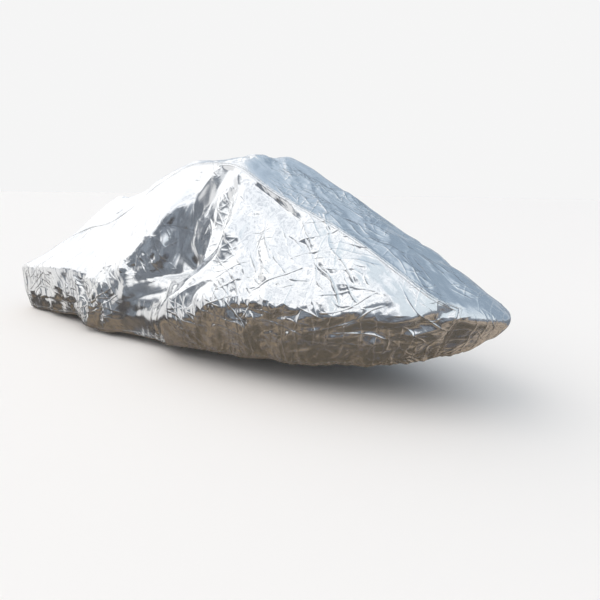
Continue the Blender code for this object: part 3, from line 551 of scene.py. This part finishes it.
def crumple(patches, seed):
    """The creases of each crumpled patch: bent once, leaning one way more than others, in as often as out."""
    draw = np.random.default_rng(seed)
    found = []
    for *sizes, count, lean, spread, _ in patches.values():
        low_along, high_along, low_across, high_across, length, stands_out, reach = np.array(sizes) / MILLI
        middle = draw.uniform((low_along, low_across), (high_along, high_across), (count, 2))
        half = length * draw.uniform(*ARM_SHARES, (count, 2, 1)) / 2
        leans = np.radians(lean + spread * draw.standard_normal((count, 1)))
        leans = leans + draw.uniform(-ARM_BEND, ARM_BEND, (count, 2))
        arms = half * np.stack((np.cos(leans), np.sin(leans)), axis=2)
        lines = np.stack((middle - arms[:, 0], middle, middle + arms[:, 1]), axis=1)
        heights = stands_out * draw.uniform(*HEIGHT_SHARES, count) * draw.choice((-1, 1), count)
        reaches = reach * draw.uniform(*REACH_SHARES, (count, 2))
        found += zip(heights, *reaches.T, lines)
    return found


def crinkle_strength(flat, patches):
    """How strong the finest crinkles are at each point: each patch's own value inside it, CRINKLE outside."""
    strength = np.full(flat.shape[:-1], CRINKLE)
    for *sizes, _, _, _, inside_strength in patches.values():
        low_along, high_along, low_across, high_across = np.array(sizes[:4]) / MILLI
        inside = np.minimum.reduce((flat[..., 0] - low_along, high_along - flat[..., 0],
                                    flat[..., 1] - low_across, high_across - flat[..., 1]))
        share = np.clip(inside / PATCH_FADE + 0.5, 0, 1)
        strength += (inside_strength - strength) * share * share * (3 - 2 * share)
    return strength


def gather_height(run, up):
    """The ripples that the elastic draws into the cloth: sines of the distance along the hem, dying out as
    exp(-(height above the hem / reach)).
    """
    height = np.zeros(run.shape)
    for *sizes, phase in GATHERS.values():
        length, reach, stands_out = np.array(sizes) / MILLI
        wander = WANDER * np.sin(2 * np.pi * run / (WANDER_LENGTHS * length) + phase)
        ripple = np.sin(2 * np.pi * (run / length + wander) + phase)
        height += stands_out * ripple * np.exp(-up / reach)
    return height


def cloth_plan(grid):
    """The distance along a panel and down or across it, the way the cloth was cut."""
    along = distances(grid.mean(axis=1))[:, None] + np.zeros(grid.shape[:2])
    return along, distances(grid)


def draped(grid, flat, folds, creases, patches, seed, seam_sides, hem_sides):
    """Lifts a grid along its normals by its folds, slack, creases, crumple and hem gathers."""
    along, across = cloth_plan(grid)
    height = fold_height(flat, folds) + slack_height(flat)
    height += crease_height(flat, [*hand_placed(creases), *crumple(patches, seed)])
    share = seam_share(grid, seam_sides)
    height *= share
    for side in hem_sides:
        run, up = {"left": (along, across), "right": (along, across[:, -1:] - across),
                   "start": (across, along), "end": (across, along[-1:] - along)}[side]
        height += gather_height(run, up) * share
    return grid + height[..., None] * face_normals(grid)


def seam_index(rows, columns, side):
    """Where a side panel's sewn edge lies in its grid: up its stern end, along its top, down its bow end."""
    top = columns - 1 if side < 0 else 0
    down = np.arange(columns - 1)[::-1] if side < 0 else np.arange(1, columns)
    row = np.concatenate((np.zeros(columns - 1, int), np.arange(rows), np.full(columns - 1, rows - 1)))
    column_index = np.concatenate((down[::-1], np.full(rows, top), down))
    return row, column_index


def sew(panel, panel_normals, top, top_normals, side):
    """Brings a side panel's edge onto the top panel's, and gives both the mean of their normals there."""
    edge = seam_index(*panel.shape[:2], side)
    rim = (slice(None), 0 if side < 0 else -1)
    mean = panel_normals[edge] + top_normals[rim]
    mean /= np.linalg.norm(mean, axis=1, keepdims=True)
    panel[edge] = top[rim]
    panel_normals[edge] = mean
    top_normals[rim] = mean


def new_object(name, data):
    """An object of the scene that holds this mesh, lamp or camera."""
    made = bpy.data.objects.new(name, data)
    bpy.context.scene.collection.objects.link(made)
    return made


def sheet_object(name, outer, normals, plan, attributes, materials):
    """A closed sheet: its outer face, its inner face one thickness below, and the rim between them."""
    rows, columns = outer.shape[:2]
    inner = outer - CLOTH_THICKNESS * normals
    points = np.concatenate((outer.reshape(-1, 3), inner.reshape(-1, 3))) - (REST_FROM_STERN, 0, REST_HEIGHT)
    index = np.arange(rows * columns).reshape(rows, columns)
    cells = np.stack((index[:-1, :-1], index[1:, :-1], index[1:, 1:], index[:-1, 1:]), axis=2).reshape(-1, 4)
    below = cells[:, ::-1] + rows * columns
    rim = np.concatenate((index[0, :-1], index[:-1, -1], index[-1, :0:-1], index[:0:-1, 0]))
    edge = np.stack((rim, np.roll(rim, -1), np.roll(rim, -1) + rows * columns, rim + rows * columns), axis=1)
    faces = np.concatenate((cells, below, edge))
    mesh = bpy.data.meshes.new(name)
    mesh.from_pydata(points, [], faces)
    counts = (len(cells), len(below), len(edge))
    mesh.polygons.foreach_set("use_smooth", np.repeat((True, True, False), counts))
    mesh.polygons.foreach_set("material_index", np.repeat((0, 1, 0), counts))
    laid = np.tile(np.stack(plan, axis=-1).reshape(-1, 2), (2, 1))
    mesh.uv_layers.new(name="cloth").data.foreach_set("uv", laid[faces.ravel()].ravel())
    for label, values in attributes.items():
        mesh.attributes.new(label, "FLOAT", "POINT").data.foreach_set("value", np.tile(values.ravel(), 2))
    for material in materials:
        mesh.materials.append(material)
    return new_object(name, mesh)


# ---- materials ----
class Socket:
    """A value in a node tree. Sums and products of these add the nodes that they stand for."""

    def __init__(self, tree, socket):
        self.tree = tree
        self.socket = socket

    @classmethod
    def start(cls, tree):
        """Empties a node tree and gives a socket to make its nodes from."""
        tree.nodes.clear()
        return cls(tree, None)

    def make(self, kind, settings=None, values=None, output=0):
        """A shader node of any kind: its settings first, then its sockets' values or links."""
        node = self.tree.nodes.new("ShaderNode" + kind)
        for name, value in (settings or {}).items():
            setattr(node, name, value)
        for name, value in (values or {}).items():
            if isinstance(value, Socket):
                self.tree.links.new(value.socket, node.inputs[name])
            else:
                node.inputs[name].default_value = value
        return Socket(self.tree, node.outputs[output] if len(node.outputs) else None)

    def maths(self, operation, other=0.0):
        return self.make("Math", {"operation": operation}, values={0: self, 1: other})

    __add__ = partialmethod(maths, "ADD")
    __radd__ = __add__
    __sub__ = partialmethod(maths, "SUBTRACT")
    __mul__ = partialmethod(maths, "MULTIPLY")
    __abs__ = partialmethod(maths, "ABSOLUTE")

    def rise(self, low, high):
        """Nought up to low, one from high on, and smooth between; low may be the greater."""
        return self.make("MapRange", {"interpolation_type": "SMOOTHSTEP"},
                         values={"Value": self, "From Min": low, "From Max": high})

    def mixed(self, first, second):
        """A colour between two others, by this share of the second."""
        return self.make("Mix", {"data_type": "RGBA"}, values={0: self, 6: first, 7: second}, output=2)

    def noise(self, vector, scale, detail=2.0, roughness=0.5):
        """Smooth noise between nought and one, centred near a half."""
        return self.make("TexNoise", values={"Vector": vector, "Scale": scale, "Detail": detail,
                                             "Roughness": roughness})

    def along(self, direction):
        """The product of this vector with a fixed direction, as one number."""
        return self.make("VectorMath", {"operation": "DOT_PRODUCT"},
                         values={0: self, 1: direction}, output="Value")

    def facing(self, azimuth, elevation, low, high):
        """From nought to one, as the cosine between this direction and a heading goes from low to high."""
        return self.along(heading(azimuth, elevation)).rise(low, high)


# Sets of nearly straight creases in crumpled cloth, each on even planes that drift a little: the direction
# across them, their spacing, the slope of the flats between them, their height and how patchy they are.
CREASE_SETS = (
    ((0.77, 0.20, 0.60), 0.090, 0.07, 0.0036, 4.1),
    ((-0.50, 0.24, 0.83), 0.071, 0.07, 0.0034, 5.3),
    ((0.26, -0.30, 0.92), 0.058, 0.06, 0.0030, 6.1),
    ((0.94, 0.30, -0.18), 0.066, 0.06, 0.0030, 4.7),
    ((0.45, 0.86, 0.24), 0.049, 0.05, 0.0032, 5.7),
    ((-0.20, 0.90, 0.38), 0.037, 0.04, 0.0024, 7.3),
)
CREASE_SHARPNESS = 210.0    # how fast a crease's edge falls away on each side, per metre
# The slow noises that bend those planes: their scale and how far.
DRIFTS = ((2.4, 0.18), (3.7, 0.12), (5.2, 0.07))


def rgb(red, green, blue):
    """An opaque colour for a socket."""
    return (red, green, blue, 1.0)


def heading(azimuth, elevation):
    """A unit vector from its azimuth, from +X towards +Y, and its elevation, in degrees."""
    turn, up = np.radians((azimuth, elevation))
    return (float(np.cos(turn) * np.cos(up)), float(np.sin(turn) * np.cos(up)), float(np.sin(up)))


def new_material(name):
    """An empty material, and a socket to make its nodes from."""
    material = bpy.data.materials.new(name)
    material.use_nodes = True
    return material, Socket.start(material.node_tree)


def shaded(node, values):
    """Ends a material's nodes with a shader of these values."""
    shader = node.make("BsdfPrincipled", values=values)
    node.make("OutputMaterial", values={"Surface": shader})


# How far from the seam and from the hem the stitch lines run, and where the doubled cloth beside them ends.
SEAM_STITCHES = (0.0035, 0.0095)
HEM_STITCH = 0.0190
SEAM_DOUBLED = (0.0130, 0.0115)
HEM_DOUBLED = (0.0225, 0.0205)
THREAD_EDGE = (0.0009, 0.0004)      # a thread fades in between these distances from its line
HALF_STITCH = 0.0019
# The small puckers along them: how fast they turn along the edge and how far noise shifts them, in radians,
# their height, and how fast they die out away from it.
SEAM_PUCKER = (270.0, 9.0, 0.0005, 55.0)
HEM_PUCKER = (215.0, 22.0, 0.0014, 24.0)
# The colours of the cloth, the brown painted into it low down as a reflection of the ground, its thread, its
# reverse, and the floor.
SILVER_DULL, SILVER_BRIGHT = rgb(0.80, 0.81, 0.83), rgb(0.86, 0.865, 0.87)
# The brown is a painted reflection: the cloth itself is silver all over, and this brown stands in for the
# ground that it mirrors low down.
PAINTED_GROUND_BROWN, THREAD = rgb(0.50, 0.43, 0.33), rgb(0.60, 0.60, 0.60)
REVERSE_DARK, REVERSE_PALE = rgb(0.30, 0.31, 0.32), rgb(0.36, 0.36, 0.37)
FLOOR_PAINT = rgb(0.955, 0.885, 0.83)
# The heights over which the painted reflection of the brown ground rises to full strength.
PAINTED_GROUND_HEIGHTS = (-0.45, -1.05)       # where it starts and where it is full, from the handlebar rest


def silver_cloth():
    """Cloth with a bright metallic coat: crumpled finely all over, browned low down and near the hem by a
    painted reflection of the brown ground and rougher there like dust, stitched at its seams.

    The crumpling is a sum of folded sheets: each set's planes are bent by slow noise, and the distance from
    the nearest plane gives its flats, exp(-distance) its sharp crease, and patchy noise where it shows.
    """
    material, node = new_material("silver cloth")
    place = node.make("TexCoord", output="Object")
    cloth = node.make("UVMap", {"uv_map": "cloth"})
    height = place.along((0.0, 0.0, 1.0))
    run = cloth.along((1.0, 1.0, 0.0))
    from_seam, from_hem, crinkle = (
        node.make("Attribute", {"attribute_name": name}, output="Fac")
        for name in ("from_seam", "from_hem", "crinkle"))

    patchy = node.noise(place, 3.5, 3.0)
    mottled = node.noise(place, 14.0, 4.0, 0.6)
    # Painted reflection: a brown tint low down and near the hem stands in for the brown ground that the cloth
    # mirrors; the same share also makes the cloth rougher there, as dust would.
    painted_ground_and_dust = height.rise(*PAINTED_GROUND_HEIGHTS) * 0.20 + from_hem.rise(0.16, 0.0) * 0.15
    painted_ground_and_dust = painted_ground_and_dust * (0.5 + mottled) * (0.6 + patchy * 0.8)
    silver = patchy.rise(0.3, 0.7).mixed(SILVER_DULL, SILVER_BRIGHT)
    colour = painted_ground_and_dust.mixed(silver, PAINTED_GROUND_BROWN)
    roughness = 0.09 + mottled * 0.07 + painted_ground_and_dust * 0.25

    drifts = [node.noise(place, scale, 1.0) * amount + node.noise(place, 9.0, 1.0) * 0.02
              for scale, amount in DRIFTS]
    relief = abs(node.noise(place, 55.0, 2.0) - 0.5) * 0.0010
    for row, (direction, spacing, slope, stands_out, patchiness) in enumerate(CREASE_SETS):
        bent = place.along(direction) + drifts[row % len(drifts)]
        fold = bent.maths("PINGPONG", spacing / 2)
        sharp = (fold * -CREASE_SHARPNESS).maths("EXPONENT")
        shown = node.noise(place, patchiness, 1.0).rise(0.46, 0.60)
        relief = (fold * slope + sharp * stands_out) * shown + relief

    uneven = node.noise(place, 9.0, 1.0)
    sewn = 0.0
    for edge, (turns, shift, stands_out, fade) in ((from_seam, SEAM_PUCKER), (from_hem, HEM_PUCKER)):
        pucker = (run * turns + uneven * shift).maths("SINE") * stands_out
        sewn = pucker * (edge * -fade).maths("EXPONENT") + sewn
    sewn = from_seam.rise(*SEAM_DOUBLED) * 0.0007 + from_hem.rise(*HEM_DOUBLED) * 0.0009 + sewn
    dash = run.maths("PINGPONG", HALF_STITCH).rise(0.0003, 0.0006)
    first, second = (abs(from_seam - line).rise(*THREAD_EDGE) for line in SEAM_STITCHES)
    thread = (first + second + abs(from_hem - HEM_STITCH).rise(*THREAD_EDGE)) * dash
    colour = (thread * 0.6).mixed(colour, THREAD)
    relief = relief * crinkle + sewn + thread * 0.0003
    normal = node.make("Bump", values={"Strength": 1.0, "Distance": 1.0, "Height": relief})
    shaded(node, {"Base Color": colour, "Metallic": 0.95, "Roughness": roughness, "Normal": normal})
    return material


def reverse_of_cloth():
    """The uncoated inside of the cloth: plain dull grey."""
    material, node = new_material("reverse of the cloth")
    place = node.make("TexCoord", output="Object")
    patchy = node.noise(place, 5.0, 3.0)
    colour = patchy.rise(0.3, 0.7).mixed(REVERSE_DARK, REVERSE_PALE)
    shaded(node, {"Base Color": colour, "Roughness": 0.75})
    return material


def floor_paint():
    """Plain pale floor."""
    material, node = new_material("pale floor")
    shaded(node, {"Base Color": FLOOR_PAINT, "Roughness": 0.9})
    return material


# ---- surroundings ----
# The colours that the cloth mirrors, and the backdrop that the camera sees instead.
WHITE_LOW, WHITE_HIGH, CLOUD = rgb(1.30, 1.31, 1.32), rgb(1.16, 1.19, 1.22), rgb(0.50, 0.56, 0.64)
BLUE_STERN, BLUE_PORT, BLUE_AHEAD = rgb(0.86, 0.95, 1.01), rgb(0.55, 0.66, 0.78), rgb(0.31, 0.40, 0.50)
BAND_DARK, BAND_GREY = rgb(0.14, 0.155, 0.18), rgb(0.27, 0.31, 0.36)
BAND_PORT_HIGH, BAND_PORT_LOW = rgb(0.46, 0.53, 0.61), rgb(0.20, 0.23, 0.27)
GROUND_FAR, GROUND_NEAR, GROUND_UNDER = rgb(0.075, 0.07, 0.07), rgb(0.31, 0.24, 0.165), rgb(0.11, 0.09, 0.065)
GROUND_PORT, GROUND_STREAK = rgb(0.50, 0.41, 0.32), rgb(0.06, 0.055, 0.05)
GROUND_PATCH = rgb(0.12, 0.14, 0.19)
LIT = rgb(0.93, 0.93, 0.93)
BACKDROP = rgb(0.915, 0.915, 0.915)


def surroundings():
    """What the silver cloth mirrors: white sky aft and to starboard, blue-grey sky to port, a dark band above
    the horizon, and brown ground with one light place on it. The camera sees the pale backdrop.
    """
    world = bpy.data.worlds.new("surroundings")
    world.use_nodes = True
    bpy.context.scene.world = world
    node = Socket.start(world.node_tree)
    towards = node.make("TexCoord", output="Generated")
    up = towards.along((0.0, 0.0, 1.0))
    clouds = node.noise(towards, 2.6, 4.0, 0.6)
    streaks = node.noise(towards, 6.0, 3.0, 0.6)
    starboard_aft = towards.facing(-140, 0, -0.10, 0.35)
    port = towards.facing(100, 0, -0.2, 0.6)
    port_ahead = towards.facing(70, 0, 0.35, 0.85)
    blue = port.mixed(BLUE_STERN, BLUE_PORT)
    blue = (port_ahead + streaks.rise(0.45, 0.60) * 0.25).mixed(blue, BLUE_AHEAD)
    white = up.rise(0.45, 0.85).mixed(WHITE_LOW, WHITE_HIGH)
    plain = towards.facing(-170, 25, 0.97, 0.86)
    white = (streaks.rise(0.52, 0.60) * plain * 0.7).mixed(white, CLOUD)
    sky = starboard_aft.mixed(blue, white)
    band = clouds.rise(0.35, 0.65).mixed(BAND_DARK, BAND_GREY)
    band = port.mixed(band, up.rise(0.10, -0.10).mixed(BAND_PORT_HIGH, BAND_PORT_LOW))
    hidden = towards.facing(-126, 0, 0.74, 0.88) * 0.07
    aft = towards.facing(178, 0, 0.84, 0.94) * 0.22
    lit_place = towards.facing(-163, 0, 0.84, 0.93) * up.rise(-0.34, -0.25)
    ahead = towards.facing(-65, 0, 0.80, 0.92) * 0.10
    ahead = towards.facing(-38, 0, 0.88, 0.95) * 0.18 + ahead
    above = (up - hidden + aft + ahead).rise(0.13, 0.33).mixed(band, sky)
    above = (lit_place * up.rise(0.20, 0.10)).mixed(above, LIT)
    ground = up.rise(-0.40, -0.60).mixed(GROUND_FAR, GROUND_NEAR)
    ground = towards.facing(-140, 0, -0.5, -0.1).mixed(GROUND_PORT, ground)
    ground = up.rise(-0.70, -0.97).mixed(ground, GROUND_UNDER)
    ground = (streaks.rise(0.50, 0.58) * 0.65).mixed(ground, GROUND_STREAK)
    ground = (clouds.rise(0.56, 0.62) * 0.7).mixed(ground, GROUND_PATCH)
    beam = towards.facing(100, 0, 0.2, 0.6) * 0.16
    beam = towards.facing(-80, 0, 0.75, 0.90) * 0.12 + beam
    below = lit_place.mixed((up + beam).rise(-0.20, -0.28).mixed(band, ground), LIT)
    seen = up.rise(-0.04, 0.02).mixed(below, above)
    camera_ray = node.make("LightPath", output="Is Camera Ray")
    colour = camera_ray.mixed(seen, BACKDROP)
    light = node.make("Background", values={"Color": colour, "Strength": 1.0})
    node.make("OutputWorld", values={"Surface": light})


def add_lamp(name, azimuth, elevation, spread, power):
    """A broad soft lamp far off in one direction, the same over the whole floor."""
    lamp = bpy.data.lights.new(name, "SUN")
    lamp.angle = float(np.radians(spread))
    lamp.energy = power
    holder = new_object(name, lamp)
    holder.rotation_mode = "QUATERNION"
    holder.rotation_quaternion = Vector(heading(azimuth, elevation)).to_track_quat("Z", "Y")
    holder.visible_glossy = False


def add_floor():
    """A wide pale floor just under the lowest hem."""
    mesh = bpy.data.meshes.new("floor")
    corners = [(x * FLOOR_REACH, y * FLOOR_REACH, FLOOR) for x, y in ((-1, -1), (1, -1), (1, 1), (-1, 1))]
    mesh.from_pydata(corners, [], [(0, 1, 2, 3)])
    mesh.materials.append(floor_paint())
    floor = new_object("floor", mesh)
    floor.visible_glossy = False


def add_camera():
    """The photo's own view: from off the starboard bow, a little above the rail and looking slightly down."""
    turn, roll = np.radians((CAMERA_YAW, CAMERA_ROLL))
    ahead = np.array(heading(CAMERA_YAW, -CAMERA_PITCH))
    right = np.array((np.sin(turn), -np.cos(turn), 0.0))
    top = np.cross(right, ahead)
    rolled_right = np.cos(roll) * right + np.sin(roll) * top
    rolled_top = -np.sin(roll) * right + np.cos(roll) * top
    placed = np.eye(4)
    placed[:3] = np.stack((rolled_right, rolled_top, -ahead, CAMERA_SPOT), axis=1)
    camera = new_object("camera", bpy.data.cameras.new("camera"))
    camera.data.sensor_width = SENSOR
    camera.data.lens = LENS
    camera.matrix_world = Matrix(placed.tolist())
    bpy.context.scene.camera = camera


# ---- the cover ----
def cover():
    """Builds the three panels, hangs each under the root body and hides the model's panel that it stands in
    for.
    """
    starboard = side_grid(STARBOARD_SECTIONS, -1)
    port = side_grid({**STARBOARD_SECTIONS, **PORT_CHANGES}, 1)
    top = top_grid(starboard, port)
    starboard = starboard[:, ::-1]
    panels = {
        "starboard": [starboard, starboard[..., [0, 2]], STARBOARD_FOLDS, STARBOARD_CREASES, SIDE_CRUMPLE, 3,
                      ("start", "end", "right"), ("left",)],
        "port": [port, port[..., [0, 2]], PORT_FOLDS, PORT_CREASES, SIDE_CRUMPLE, 8,
                 ("start", "end", "left"), ("right",)],
        "top": [top, top_flat(top), TOP_FOLDS, TOP_CREASES, TOP_CRUMPLE, 5,
                ("left", "right"), ("start", "end")],
    }
    lifted = {name: draped(*row) for name, row in panels.items()}
    normals = {name: face_normals(grid) for name, grid in lifted.items()}
    for name, side in (("starboard", -1), ("port", 1)):
        sew(lifted[name], normals[name], lifted["top"], normals["top"], side)
    materials = (silver_cloth(), reverse_of_cloth())
    for name, grid in lifted.items():
        flat_points, patches, seams, hems = (panels[name][place] for place in (1, 4, 6, 7))
        attributes = {"from_seam": nearest(grid, seams), "from_hem": nearest(grid, hems),
                      "crinkle": crinkle_strength(flat_points, patches)}
        piece = sheet_object(name + "_sheet", grid, normals[name], cloth_plan(grid), attributes, materials)
        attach(piece, "root")
        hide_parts(name + "_panel")


surroundings()
for lamp_name, lamp_row in LAMPS.items():
    add_lamp(lamp_name, *lamp_row)
add_floor()
add_camera()
cover()
bpy.context.scene.view_settings.view_transform = "Standard"
